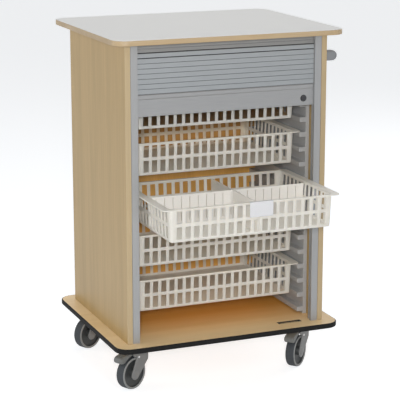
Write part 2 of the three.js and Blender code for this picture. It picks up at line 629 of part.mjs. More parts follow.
function addCastors(cabinet) {
  const x = HALF_BODY - CASTOR_SIDE_INSET;
  const front = CASTOR_FRONT_INSET;
  const rear = BODY_DEPTH - CASTOR_REAR_INSET;
  const places = [
    ['front_left', -x, front, LEFT_CASTOR_DEGREES], ['front_right', x, front, RIGHT_CASTOR_DEGREES],
    ['rear_left', -x, rear, LEFT_CASTOR_DEGREES], ['rear_right', x, rear, RIGHT_CASTOR_DEGREES],
  ];
  const plate = roundedRectangle(CASTOR_PLATE_LENGTH, CASTOR_PLATE_WIDTH, CASTOR_PLATE_CORNER);
  const bore = STUD_RADIUS + CLEARANCE;
  const head = turned([
    [bore, HEAD_BOTTOM], [HEAD_RADIUS, HEAD_BOTTOM], [HEAD_RADIUS, HEAD_TOP], [bore, HEAD_TOP],
  ]);
  head.rotateX(Math.PI / 2);

  for (const [name, castorX, castorY, degrees] of places) {
    const braked = name.startsWith('front');
    const castor = new THREE.Group();
    castor.position.set(castorX, castorY, -BASE_BOARD);
    cabinet.add(castor);
    addPart(castor, `${name}_castor_plate`, extrudeZ(plate, HEAD_TOP, 0), CASTOR_STEEL);
    addPart(castor, `${name}_castor_head`, head, CASTOR_STEEL);

    const swivel = new THREE.Group();
    swivel.rotation.z = THREE.MathUtils.degToRad(degrees);
    castor.add(swivel);
    addPart(swivel, `${name}_castor_fork`, forkGeometry(braked), CASTOR_GREY);
    if (braked) addPart(swivel, `${name}_brake_pedal`, pedalGeometry(), CASTOR_GREY);

    const wheel = new THREE.Group();
    wheel.position.set(CASTOR_TRAIL, 0, AXLE_LEVEL);
    swivel.add(wheel);
    const axleHalf = ARM_OUTER + AXLE_END;
    addPart(wheel, `${name}_axle`, rodY(AXLE_RADIUS, -axleHalf, axleHalf), CASTOR_STEEL);
    addPart(wheel, `${name}_wheel_hub`, hubGeometry(), HUB_PLASTIC);
    addPart(wheel, `${name}_tyre`, tyreGeometry(), TYRE_RUBBER);
  }
}

const trolley = new THREE.Group();
const cabinet = new THREE.Group();
cabinet.position.set(0, -TROLLEY_MIDDLE, -FLOOR_LEVEL);
trolley.add(cabinet);
addCarcass(cabinet);
addGuides(cabinet);
addShutter(cabinet);
addRunnerWalls(cabinet);
addBaskets(cabinet);
addHandle(cabinet);
addCastors(cabinet);

export default trolley;
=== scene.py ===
"""A mobile storage trolley: birch carcass, grey roller shutter, slotted baskets and swivel castors."""

import math

import bmesh
import bpy
from mathutils import Matrix, Vector
from mathutils.geometry import convex_hull_2d


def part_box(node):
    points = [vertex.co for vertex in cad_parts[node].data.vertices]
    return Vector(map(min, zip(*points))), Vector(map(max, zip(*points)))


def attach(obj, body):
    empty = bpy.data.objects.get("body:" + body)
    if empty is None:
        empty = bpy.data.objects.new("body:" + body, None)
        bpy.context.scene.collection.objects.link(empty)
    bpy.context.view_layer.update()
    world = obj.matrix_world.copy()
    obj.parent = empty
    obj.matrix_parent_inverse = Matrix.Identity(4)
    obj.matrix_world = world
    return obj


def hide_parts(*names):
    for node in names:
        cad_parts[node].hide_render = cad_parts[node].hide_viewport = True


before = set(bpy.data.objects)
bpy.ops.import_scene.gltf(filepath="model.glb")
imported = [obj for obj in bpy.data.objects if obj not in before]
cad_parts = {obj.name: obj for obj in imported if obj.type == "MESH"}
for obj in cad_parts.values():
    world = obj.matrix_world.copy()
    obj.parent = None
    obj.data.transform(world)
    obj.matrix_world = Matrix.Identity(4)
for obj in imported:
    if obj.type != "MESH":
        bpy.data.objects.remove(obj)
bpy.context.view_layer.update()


# The studio is a wide pale floor in an even white surround, with soft lamps high in front, beside the
# camera, overhead and at both sides. The camera sees white, and a light shadow on the floor.
def shown_rays(nodes, links):
    """A socket that is 1 for what the camera sees, also by way of gloss or clear matter, and else 0."""
    path = nodes.new("ShaderNodeLightPath")
    seen = path.outputs["Is Camera Ray"]
    for ray in ("Is Glossy Ray", "Is Transmission Ray"):
        either = nodes.new("ShaderNodeMath")
        either.operation = "MAXIMUM"
        links.new(seen, either.inputs[0])
        links.new(path.outputs[ray], either.inputs[1])
        seen = either.outputs["Value"]
    return seen


studio = bpy.context.scene
studio.view_settings.view_transform = "Standard"
surround = bpy.data.worlds.new("white_surround")
surround.use_nodes = True
studio.world = surround
sky_nodes, sky_links = surround.node_tree.nodes, surround.node_tree.links
sky_light = sky_nodes["Background"]
sky_light.inputs["Color"].default_value = (1.0, 0.99, 0.975, 1)
sky_light.inputs["Strength"].default_value = 0.10
sky_white = sky_nodes.new("ShaderNodeBackground")
sky_white.inputs["Color"].default_value = (1, 1, 1, 1)
sky_choice = sky_nodes.new("ShaderNodeMixShader")
sky_links.new(shown_rays(sky_nodes, sky_links), sky_choice.inputs["Fac"])
sky_links.new(sky_light.outputs["Background"], sky_choice.inputs[1])
sky_links.new(sky_white.outputs["Background"], sky_choice.inputs[2])
sky_links.new(sky_choice.outputs["Shader"], sky_nodes["World Output"].inputs["Surface"])

floor_finish = bpy.data.materials.new("studio_floor")
floor_finish.use_nodes = True
floor_nodes, floor_links = floor_finish.node_tree.nodes, floor_finish.node_tree.links
floor_paint = floor_nodes["Principled BSDF"]
floor_paint.inputs["Roughness"].default_value = 0.9
floor_glow = floor_nodes.new("ShaderNodeEmission")
floor_glow.inputs["Color"].default_value = (0.97, 0.985, 1.0, 1)
floor_lift = floor_nodes.new("ShaderNodeMath")
floor_lift.operation = "MULTIPLY"
floor_lift.inputs[1].default_value = 0.755
floor_seen = shown_rays(floor_nodes, floor_links)
floor_links.new(floor_seen, floor_lift.inputs[0])
floor_links.new(floor_lift.outputs["Value"], floor_glow.inputs["Strength"])
floor_tone = floor_nodes.new("ShaderNodeValToRGB")
floor_tone.color_ramp.elements[0].color = (0.88, 0.88, 0.88, 1)
floor_tone.color_ramp.elements[1].color = (0.495, 0.505, 0.525, 1)
floor_links.new(floor_seen, floor_tone.inputs["Fac"])
floor_links.new(floor_tone.outputs["Color"], floor_paint.inputs["Base Color"])
floor_sum = floor_nodes.new("ShaderNodeAddShader")
floor_links.new(floor_paint.outputs["BSDF"], floor_sum.inputs[0])
floor_links.new(floor_glow.outputs["Emission"], floor_sum.inputs[1])
floor_links.new(floor_sum.outputs["Shader"], floor_nodes["Material Output"].inputs["Surface"])
floor_half = 60
floor_mesh = bpy.data.meshes.new("studio_floor")
floor_bm = bmesh.new()
bmesh.ops.create_grid(floor_bm, x_segments=1, y_segments=1, size=floor_half)
floor_bm.to_mesh(floor_mesh)
floor_bm.free()
floor_mesh.materials.append(floor_finish)
floor = bpy.data.objects.new("studio_floor", floor_mesh)
studio.collection.objects.link(floor)

middle = Vector((0, 0, 0.6))
for lamp_name, place, size, power in (
    ("key_lamp", (-0.4, -4.0, 3.7), 2.6, 35),
    ("front_lamp", (-2.0, -4.75, 1.95), 0.6, 148),
    ("top_lamp", (0.0, 1.5, 4.4), 2.6, 34),
    ("left_lamp", (-4.2, 1.0, 2.0), 2.4, 46),
    ("right_lamp", (4.0, 1.6, 2.2), 2.4, 50),
):
    lamp_data = bpy.data.lights.new(lamp_name, "AREA")
    lamp_data.shape = "DISK"
    lamp_data.size = size
    lamp_data.energy = power
    lamp = bpy.data.objects.new(lamp_name, lamp_data)
    lamp.location = place
    lamp.rotation_euler = (middle - lamp.location).to_track_quat("-Z", "Y").to_euler()
    studio.collection.objects.link(lamp)

look_down, look_aside = math.radians(13.5), math.radians(22.5)
camera_data = bpy.data.cameras.new("photo_view")
camera_data.sensor_width = 36
camera_data.lens = 139.52
camera = bpy.data.objects.new("photo_view", camera_data)
camera.location = (-1.9273, -4.6127, 1.7600)
camera.rotation_euler = (math.radians(90) - look_down, 0, -look_aside)
studio.collection.objects.link(camera)
studio.camera = camera


# The base is a birch board under everything, with a black rubber band pressed round its edge and a
# slotted steel keep let into it, which the shutter's bolt drops into.
def birch(name, along, pale, dark, gloss=0.42):
    """Lacquered birch veneer with its grain along one axis."""
    material = bpy.data.materials.new(name)
    material.use_nodes = True
    nodes, links = material.node_tree.nodes, material.node_tree.links
    shader = nodes["Principled BSDF"]
    shader.inputs["Roughness"].default_value = gloss
    place = nodes.new("ShaderNodeTexCoord")
    layers = []
    for across_scale, along_scale, detail in ((11, 0.4, 5), (430, 7, 2)):
        stretch = nodes.new("ShaderNodeMapping")
        stretch.inputs["Scale"].default_value = [
            along_scale if axis == along else across_scale for axis in "XYZ"
        ]
        links.new(place.outputs["Object"], stretch.inputs["Vector"])
        figure = nodes.new("ShaderNodeTexNoise")
        figure.inputs["Scale"].default_value = 1.0
        figure.inputs["Detail"].default_value = detail
        figure.inputs["Roughness"].default_value = 0.62
        figure.inputs["Distortion"].default_value = 0.35
        links.new(stretch.outputs["Vector"], figure.inputs["Vector"])
        layers.append(figure)
    flame, fibre = layers
    fibre_share = 0.35
    blend = nodes.new("ShaderNodeMath")
    blend.operation = "MULTIPLY_ADD"
    blend.inputs[1].default_value = fibre_share
    links.new(fibre.outputs["Fac"], blend.inputs[0])
    share = nodes.new("ShaderNodeMath")
    share.operation = "MULTIPLY"
    share.inputs[1].default_value = 1 - fibre_share
    links.new(flame.outputs["Fac"], share.inputs[0])
    links.new(share.outputs["Value"], blend.inputs[2])
    tone = nodes.new("ShaderNodeValToRGB")
    tone.color_ramp.elements[0].position = 0.40
    tone.color_ramp.elements[0].color = (*dark, 1)
    tone.color_ramp.elements[1].position = 0.60
    tone.color_ramp.elements[1].color = (*pale, 1)
    links.new(blend.outputs["Value"], tone.inputs["Fac"])
    links.new(tone.outputs["Color"], shader.inputs["Base Color"])
    pores = nodes.new("ShaderNodeBump")
    pores.inputs["Strength"].default_value = 0.12
    pores.inputs["Distance"].default_value = 0.0004
    links.new(fibre.outputs["Fac"], pores.inputs["Height"])
    links.new(pores.outputs["Normal"], shader.inputs["Normal"])
    return material


def surface(name, colour, roughness, metallic=0.0, stretch=(1, 1, 1), scale=260, mottle=0.04, relief=0.05):
    """One colour with a fine unevenness in its tone, its gloss and its relief."""
    material = bpy.data.materials.new(name)
    material.use_nodes = True
    nodes, links = material.node_tree.nodes, material.node_tree.links
    shader = nodes["Principled BSDF"]
    shader.inputs["Metallic"].default_value = metallic
    place = nodes.new("ShaderNodeTexCoord")
    lay = nodes.new("ShaderNodeMapping")
    lay.inputs["Scale"].default_value = stretch
    links.new(place.outputs["Object"], lay.inputs["Vector"])
    speck = nodes.new("ShaderNodeTexNoise")
    speck.inputs["Scale"].default_value = scale
    speck.inputs["Detail"].default_value = 3
    links.new(lay.outputs["Vector"], speck.inputs["Vector"])
    tone = nodes.new("ShaderNodeValToRGB")
    tone.color_ramp.elements[0].position = 0.25
    tone.color_ramp.elements[0].color = (*[part * (1 - mottle) for part in colour], 1)
    tone.color_ramp.elements[1].position = 0.75
    tone.color_ramp.elements[1].color = (*[min(part * (1 + mottle), 1) for part in colour], 1)
    links.new(speck.outputs["Fac"], tone.inputs["Fac"])
    links.new(tone.outputs["Color"], shader.inputs["Base Color"])
    sheen = nodes.new("ShaderNodeMapRange")
    sheen.inputs["To Min"].default_value = roughness - 0.06
    sheen.inputs["To Max"].default_value = roughness + 0.06
    links.new(speck.outputs["Fac"], sheen.inputs["Value"])
    links.new(sheen.outputs["Result"], shader.inputs["Roughness"])
    grain = nodes.new("ShaderNodeBump")
    grain.inputs["Strength"].default_value = relief
    grain.inputs["Distance"].default_value = 0.0005
    links.new(speck.outputs["Fac"], grain.inputs["Height"])
    links.new(grain.outputs["Normal"], shader.inputs["Normal"])
    return material


def paint_shade(material, colour, *spans):
    """Paint shade into a material: multiply its colour by a tint where every (axis, start, end) given lets
    it.
    """
    nodes, links = material.node_tree.nodes, material.node_tree.links
    spot = nodes.new("ShaderNodeSeparateXYZ")
    links.new(nodes["Texture Coordinate"].outputs["Object"], spot.inputs["Vector"])
    darker = nodes.new("ShaderNodeMix")
    darker.data_type = "RGBA"
    darker.blend_type = "MULTIPLY"
    darker.inputs[7].default_value = (*colour, 1)
    share = None
    for axis, start, end in spans:
        reach = nodes.new("ShaderNodeMapRange")
        reach.inputs["From Min"].default_value = start
        reach.inputs["From Max"].default_value = end
        links.new(spot.outputs[axis], reach.inputs["Value"])
        if share is not None:
            links.new(share, reach.inputs["To Max"])
        share = reach.outputs["Result"]
    links.new(share, darker.inputs[0])
    tone = nodes["Principled BSDF"].inputs["Base Color"]
    links.new(tone.links[0].from_socket, darker.inputs[6])
    links.new(darker.outputs[2], tone)


def block(bm, spot, size):
    """Add a box with its middle at a spot, and give its corners."""
    return bmesh.ops.create_cube(bm, size=1, matrix=Matrix.LocRotScale(spot, None, size))["verts"]


def rounded(bm, rims, offset, steps):
    """Round some edges of a mesh in the making."""
    bmesh.ops.bevel(bm, geom=rims, offset=offset, segments=steps, profile=0.5, affect="EDGES", material=-1)


def eased(node, edge, steps=2, sharper_than=40):
    """A copy of a CAD node's solid with its sharp edges rounded."""
    bm = bmesh.new()
    bm.from_mesh(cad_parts[node].data)
    bmesh.ops.remove_doubles(bm, verts=bm.verts, dist=1e-6)
    bmesh.ops.dissolve_limit(bm, angle_limit=math.radians(0.5), verts=bm.verts, edges=bm.edges)
    sharp = [rim for rim in bm.edges if rim.calc_face_angle(0) > math.radians(sharper_than)]
    bmesh.ops.bevel(bm, geom=sharp, offset=edge, segments=steps, profile=0.5, affect="EDGES", material=-1,
                    clamp_overlap=True)
    return bm


def dress(name, bm, material, body, slot, *nodes):
    """Make a worked mesh a piece that rides on a body and stands for its CAD nodes."""
    mesh = bpy.data.meshes.new(name)
    bm.to_mesh(mesh)
    bm.free()
    mesh.materials.append(material)
    mesh.shade_smooth()
    mesh.set_sharp_from_angle(angle=math.radians(50))
    piece = bpy.data.objects.new(name, mesh)
    studio.collection.objects.link(piece)
    even = piece.modifiers.new("even_shading", "WEIGHTED_NORMAL")
    even.keep_sharp = True
    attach(piece, body)
    if nodes:
        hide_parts(*nodes)
    return piece


base_birch = birch("birch_base", "X", (0.87, 0.665, 0.395), (0.78, 0.575, 0.305))
shade_edge = 0.0005
inside_half = 0.335
inside_rear = 0.16
# Inside the carcass the board is painted warmer and darker further in: painted shade with the warm bounce
# light of the birch.
paint_shade(base_birch, (1.0, 0.66, 0.25), ("Y", -0.20, 0.03), ("Y", inside_rear + shade_edge, inside_rear),
     ("X", -inside_half - shade_edge, -inside_half), ("X", inside_half + shade_edge, inside_half))
dress("base_board", eased("base_plate", 0.0004), base_birch, "cabinet", "birch", "base_plate")

band_lo, band_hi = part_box("base_bumper")
band_corner = 0.047
band_round = 0.003
band_bm = bmesh.new()
block(band_bm, (band_lo + band_hi) / 2, band_hi - band_lo)
upright = [rim for rim in band_bm.edges if abs(rim.verts[0].co.z - rim.verts[1].co.z) > band_round]
rounded(band_bm, upright, band_corner, 12)
rims = [rim for rim in band_bm.edges if rim.calc_face_angle(0) > 1]
rounded(band_bm, rims, band_round, 4)
flats = [face for face in band_bm.faces if abs(face.normal.z) > 0.99]
bmesh.ops.delete(band_bm, geom=flats, context="FACES")
open_rims = [rim for rim in band_bm.edges if rim.is_boundary]
bmesh.ops.bridge_loops(band_bm, edges=open_rims)
bmesh.ops.recalc_face_normals(band_bm, faces=band_bm.faces)
black_rubber = surface("black_rubber", (0.008, 0.008, 0.008), 0.85, scale=500, relief=0.12)
black_rubber.node_tree.nodes["Principled BSDF"].inputs["Specular IOR Level"].default_value = 0.25
dress("base_band", band_bm, black_rubber, "cabinet", "bumper_rubber", "base_bumper")

# The keep is painted nearly black: a painted shade that stands for the shadow down its slot.
keep_steel_painted_shade = surface("keep_steel_painted_shade", (0.012, 0.012, 0.013), 0.6, scale=700, mottle=0.08)
dress("keep_plate", eased("lock_keep", 0.0003), keep_steel_painted_shade, "cabinet", "lock_steel", "lock_keep")

# The two side boards and the back are lacquered birch on edge, and the side boards have a paler band glued
# flush on their front edges. Inside, a second, thinner back hides the well that the shutter runs down.
birch_upright = birch("birch_upright", "Z", (0.499, 0.345, 0.144), (0.389, 0.264, 0.103))
birch_band = birch("birch_band", "Z", (0.50, 0.39, 0.235), (0.445, 0.34, 0.198))
band_thick = 0.0012
# The inner back is painted deep orange: painted shade with the warm bounce light between the birch boards.
birch_painted_shade = birch("birch_painted_shade", "Z", (0.92, 0.51, 0.14), (0.82, 0.43, 0.10))
# Above this it is painted darker towards its top, a painted shadow of the shutter.
paint_shade(birch_painted_shade, (0.56, 0.53, 0.55), ("Z", 0.56, 0.69))
for side in ("left", "right"):
    joint = (0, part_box(f"{side}_side_panel")[0].y + band_thick, 0)
    shares = ((1, f"{side}_side_board", birch_upright), (-1, f"{side}_edge_band", birch_band))
    for kept, name, finish in shares:
        board_bm = eased(f"{side}_side_panel", 0.0008)
        geom = board_bm.verts[:] + board_bm.edges[:] + board_bm.faces[:]
        bmesh.ops.bisect_plane(board_bm, geom=geom, plane_co=joint, plane_no=(0, kept, 0), clear_inner=True)
        bmesh.ops.holes_fill(board_bm, edges=[rim for rim in board_bm.edges if rim.is_boundary])
        replaced = [f"{side}_side_panel"] if kept > 0 else []
        dress(name, board_bm, finish, "cabinet", "birch", *replaced)
dress("back_board", eased("back_panel", 0.0008), birch_upright, "cabinet", "birch", "back_panel")
dress("inner_back_board", eased("inner_back_panel", 0.0005), birch_painted_shade, "cabinet", "birch",
      "inner_back_panel")

# The top is a birch board with a pale laminate sheet glued on it, cut back a little from its edge.
# Its corners are round, and its edge band is eased by hand.
birch_lying = birch("birch_lying", "X", (0.51, 0.39, 0.245), (0.44, 0.315, 0.17))
dress("top_board", eased("top_plate", 0.0014, 3), birch_lying, "cabinet", "birch", "top_plate")
pale_laminate = surface("pale_laminate", (0.84, 0.84, 0.825), 0.42, scale=900, mottle=0.03, relief=0.04)
dress("top_sheet", eased("top_laminate", 0.0005), pale_laminate, "cabinet", "top_laminate", "top_laminate")

# The push handle is a grey tube between two moulded brackets that are screwed to the right side board.
# Each bracket has a round nose, and a collar where the tube enters it.
handle_plastic = surface("handle_plastic", (0.22, 0.23, 0.245), 0.45, scale=600, relief=0.08)
bracket_round = 0.008
hair = 1e-6
for end in ("front", "rear"):
    lo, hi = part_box(f"handle_{end}_bracket")
    bracket_bm = bmesh.new()
    block(bracket_bm, (lo + hi) / 2, hi - lo)
    nose = [rim for rim in bracket_bm.edges if all(v.co.x > hi.x - hair for v in rim.verts)
            and abs(rim.verts[0].co.y - rim.verts[1].co.y) > hair]
    rounded(bracket_bm, nose, (hi.z - lo.z) * 0.499, 10)
    rims = [rim for rim in bracket_bm.edges if rim.calc_face_angle(0) > 1
            and any(v.co.x > lo.x + hair for v in rim.verts)]
    rounded(bracket_bm, rims, bracket_round, 6)
    dress(f"handle_{end}_end", bracket_bm, handle_plastic, "cabinet", "handle_plastic",
          f"handle_{end}_bracket")

lo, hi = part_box("handle_bar")
bar_middle = (lo + hi) / 2
bar_radius = (hi.x - lo.x) / 2
lying = Matrix.Rotation(math.radians(90), 4, "X")
bar_bm = bmesh.new()
bmesh.ops.create_cone(bar_bm, cap_ends=True, segments=40, radius1=bar_radius, radius2=bar_radius,
                      depth=hi.y - lo.y, matrix=Matrix.Translation(bar_middle) @ lying)
collar_length = 0.006
collar_radius = bar_radius + 0.0016
for collar_y in (lo.y + collar_length / 2, hi.y - collar_length / 2):
    collar_place = Matrix.Translation((bar_middle.x, collar_y, bar_middle.z)) @ lying
    bmesh.ops.create_cone(bar_bm, cap_ends=True, segments=40, radius1=collar_radius, radius2=collar_radius,
                          depth=collar_length, matrix=collar_place)
anodised = surface("anodised_aluminium", (0.34, 0.345, 0.35), 0.4, metallic=0.25, stretch=(1, 1, 0.02),
                   scale=900, mottle=0.05, relief=0.06)
dress("handle_tube", bar_bm, anodised, "cabinet", "guide_aluminium", "handle_bar")

# The shutter runs in two aluminium channels, extruded in one length and screwed to the side boards.
# Their mouths face each other, and each has a small shadow gap along the board.
for side in ("left", "right"):
    guide = f"{side}_shutter_guide"
    dress(f"{side}_guide", eased(guide, 0.0005), anodised, "cabinet", "guide_aluminium", guide)

# The shutter is a curtain of flat grey slats on a flexible web that is painted black as a painted shade,
# with a deep aluminium rail at its foot. Its second length hangs behind the first, goes round a bend and
# runs back under the top board.
slat_grey = surface("slat_grey", (0.318, 0.339, 0.355), 0.48, stretch=(0.03, 1, 1), scale=700, mottle=0.03,
                    relief=0.04)
# The web is painted black: a painted shade for the gaps between the slats.
web_painted_shade = surface("web_painted_shade", (0.02, 0.02, 0.02), 0.8, scale=500, relief=0.1)
slat_pitch = 0.0159
slat_thick = 0.007
slat_gap = 0.001
slat_round = 0.0009
web_thick = 0.003
web_middle = 0.0045
web_margin = 0.001
bend_gap = 0.0028
bend_drop = 0.018
bend_reach = 0.034
slat_tops = {}
for node, body, name, head_room in (
    ("shutter_front_curtain", "shutter", "front", bend_drop),
    ("shutter_rear_curtain", "upper_curtain", "rear", bend_reach),
):
    lo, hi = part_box(node)
    centre = (lo.x + hi.x) / 2
    slat_count = int((hi.z - lo.z - head_room) / slat_pitch)
    slats_bm = bmesh.new()
    for number in range(slat_count):
        gap = bend_gap if number == slat_count - 1 else slat_gap
        foot = lo.z + number * slat_pitch + gap
        height = slat_pitch - gap
        spot = (centre, lo.y + slat_thick / 2, foot + height / 2)
        slat = block(slats_bm, spot, (hi.x - lo.x, slat_thick, height))
        slat_rims = dict.fromkeys(rim for v in slat for rim in v.link_edges)
        long_rims = [rim for rim in slat_rims if rim.calc_length() > slat_pitch]
        rounded(slats_bm, long_rims, slat_round, 3)
    dress(f"{name}_slats", slats_bm, slat_grey, body, "shutter_slats", node)
    slat_tops[name] = lo.z + slat_count * slat_pitch
    web_top = slat_tops[name] + bend_gap
    web_bm = bmesh.new()
    spot = (centre, lo.y + web_middle, (lo.z + web_top) / 2)
    block(web_bm, spot, (hi.x - lo.x - 2 * web_margin, web_thick, web_top - lo.z))
    dress(f"{name}_web", web_bm, web_painted_shade, body, "shutter_slats")

thin_slat = 0.0032
thin_inset = 0.0035
lo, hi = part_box("shutter_front_curtain")
thin_height = (hi.z - slat_tops["front"]) / 2
turn_bm = bmesh.new()
for number in (0, 1):
    spot = (0, lo.y + thin_inset + thin_slat / 2, slat_tops["front"] + (number + 0.5) * thin_height)
    block(turn_bm, spot, (hi.x - lo.x, thin_slat, thin_height - slat_gap))
# The two turning slats at the top are painted a darker grey: a painted shadow of the top board's overhang.
slat_painted_shade = surface("slat_painted_shade", (0.250, 0.252, 0.250), 0.52, stretch=(0.03, 1, 1), scale=700,
                      mottle=0.03)
dress("front_turn_slats", turn_bm, slat_painted_shade, "shutter", "shutter_slats")

lo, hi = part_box("shutter_rear_curtain")
bend_radius = hi.z - slat_tops["rear"]
mouth_clear, wall_clear, well_clear = 0.0008, 0.002, 0.004
mouth_width = 2 * (-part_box("left_shutter_guide")[1].x - mouth_clear)
bend_width = 2 * (-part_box("left_runner_wall")[1].x - wall_clear)
wall_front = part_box("left_runner_wall")[0].y - wall_clear
bend_axis = Matrix.Translation((0, lo.y + bend_radius, slat_tops["rear"]))
bend_count = int(bend_radius * math.pi / 2 / slat_pitch)
run_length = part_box("inner_back_panel")[0].y - well_clear - lo.y - bend_radius
places = []
for number in range(bend_count):
    lean = Matrix.Rotation(-(number + 0.5) / bend_count * math.pi / 2, 4, "X")
    places.append(bend_axis @ lean @ Matrix.Translation((0, thin_slat / 2 - bend_radius, 0)))
for number in range(int(run_length / slat_pitch)):
    spot = (0, lo.y + bend_radius + (number + 0.5) * slat_pitch, hi.z - thin_slat / 2)
    places.append(Matrix.Translation(spot) @ Matrix.Rotation(-math.pi / 2, 4, "X"))
bend_bm = bmesh.new()
for place in places:
    in_front = place.translation.y + slat_pitch / 2 < wall_front
    width = mouth_width if in_front else bend_width
    size = Matrix.Diagonal((width, thin_slat, slat_pitch - 2 * slat_gap, 1))
    bmesh.ops.create_cube(bend_bm, size=1, matrix=place @ size)
dress("rear_bend_slats", bend_bm, slat_grey, "upper_curtain", "shutter_slats")

rail_aluminium = surface("rail_aluminium", (0.315, 0.32, 0.325), 0.4, metallic=0.25, stretch=(0.02, 1, 1),
                         scale=900, mottle=0.05, relief=0.06)
dress("foot_rail", eased("shutter_bottom_rail", 0.0006), rail_aluminium, "shutter", "guide_aluminium",
      "shutter_bottom_rail")


# The lock is a turned steel barrel with a key slot, in a round plate on the rail's right end.
# The plate lies flat on the rail, and the barrel turns in it.
def turned(profile, place, steps=48):
    """A closed half-section of (radius, height) points turned about its upright axis, then put in place."""
    bm = bmesh.new()
    section = [bm.verts.new((radius, 0, height)) for radius, height in profile]
    outline = [bm.edges.new(pair) for pair in zip(section, section[1:] + section[:1])]
    bmesh.ops.spin(bm, geom=section + outline, cent=(0, 0, 0), axis=(0, 0, 1), angle=math.tau, steps=steps,
                   use_merge=True)
    bmesh.ops.remove_doubles(bm, verts=bm.verts, dist=1e-7)
    bmesh.ops.delete(bm, geom=[edge for edge in bm.edges if edge.is_wire], context="EDGES")
    bmesh.ops.recalc_face_normals(bm, faces=bm.faces)
    bmesh.ops.transform(bm, matrix=place, verts=bm.verts)
    return bm


lock_steel = surface("lock_steel", (0.055, 0.055, 0.06), 0.35, metallic=0.5, scale=700, mottle=0.08)
lo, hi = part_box("lock_rosette")
plate_radius = (hi.x - lo.x) / 2
plate_place = Matrix.Translation(((lo.x + hi.x) / 2, hi.y, (lo.z + hi.z) / 2)) @ lying
plate_thick = hi.y - lo.y
barrel_room = 0.0083
plate_bm = turned([
    (barrel_room, 0), (plate_radius, 0), (plate_radius, plate_thick * 0.4),
    (plate_radius - 0.0008, plate_thick), (barrel_room + 0.0007, plate_thick),
    (barrel_room, plate_thick * 0.7),
], plate_place)
dress("lock_plate", plate_bm, lock_steel, "shutter", "lock_steel", "lock_rosette")
dress("lock_cylinder", eased("lock_barrel", 0.0003), lock_steel, "lock", "lock_steel", "lock_barrel")

# The runner walls are moulded in light grey plastic, with a ledge at every step so that a basket can
# hang at any height. Each is screwed to the inside of a side board.
runner_plastic = surface("runner_plastic", (0.41, 0.413, 0.415), 0.5, scale=420, mottle=0.03, relief=0.08)
for side in ("left", "right"):
    wall = f"{side}_runner_wall"
    dress(f"{side}_runners", eased(wall, 0.0016, 3), runner_plastic, "cabinet", "runner_plastic", wall)

# The baskets are moulded in cream plastic in one piece: a closed floor, walls with two rows of upright
# slots that lean in towards the floor, and a turned-out rim that hangs on the ledges.
basket_wall = 0.0025
side_rim = 0.024
end_rim = 0.008
rim_lip = 0.0012
wall_lean = 0.005
corner_round = 0.014
foot_round = 0.005
rim_round = 0.0006
slot_pitch = 0.0286
slot_width = 0.0176
slot_height = 0.038
slot_row_gap = 0.011
slot_drop = 0.009
slot_margin = 0.028


def milky(material, share, spread, reach):
    """Let light run a little way through a plastic before it comes out again."""
    shader = material.node_tree.nodes["Principled BSDF"]
    shader.inputs["Subsurface Weight"].default_value = share
    shader.inputs["Subsurface Radius"].default_value = spread
    shader.inputs["Subsurface Scale"].default_value = reach


basket_plastic = surface("basket_plastic", (0.968, 0.888, 0.755), 0.4, scale=520, mottle=0.02, relief=0.05)
milky(basket_plastic, 1.0, (1.0, 1.0, 1.0), 0.014)
wall_depth = end_rim + wall_lean + basket_wall + shade_edge
# Basket 1 is painted dark brown behind its front wall: a painted shade, as it sits in the shadow of the
# shutter.
basket_painted_shade = basket_plastic.copy()
basket_painted_shade.name = "basket_painted_shade"
front_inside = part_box("basket_1")[0].y + wall_depth
floor_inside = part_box("basket_1")[0].z + 0.001
paint_shade(basket_painted_shade, (0.30, 0.21, 0.11), ("Y", front_inside, front_inside + shade_edge),
     ("Z", floor_inside, floor_inside + shade_edge))
# Basket 2 is painted warmer towards its rear wall: painted shade with the warm bounce light of the birch.
basket_painted_warm_shade = basket_plastic.copy()
basket_painted_warm_shade.name = "basket_painted_warm_shade"
rear_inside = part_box("basket_2")[1].y - wall_depth
paint_shade(basket_painted_warm_shade, (0.95, 0.84, 0.72), ("Y", rear_inside - 0.03, rear_inside))


def points_of(geom):
    """The vertices in what an operator gives back."""
    return [part for part in geom if isinstance(part, bmesh.types.BMVert)]


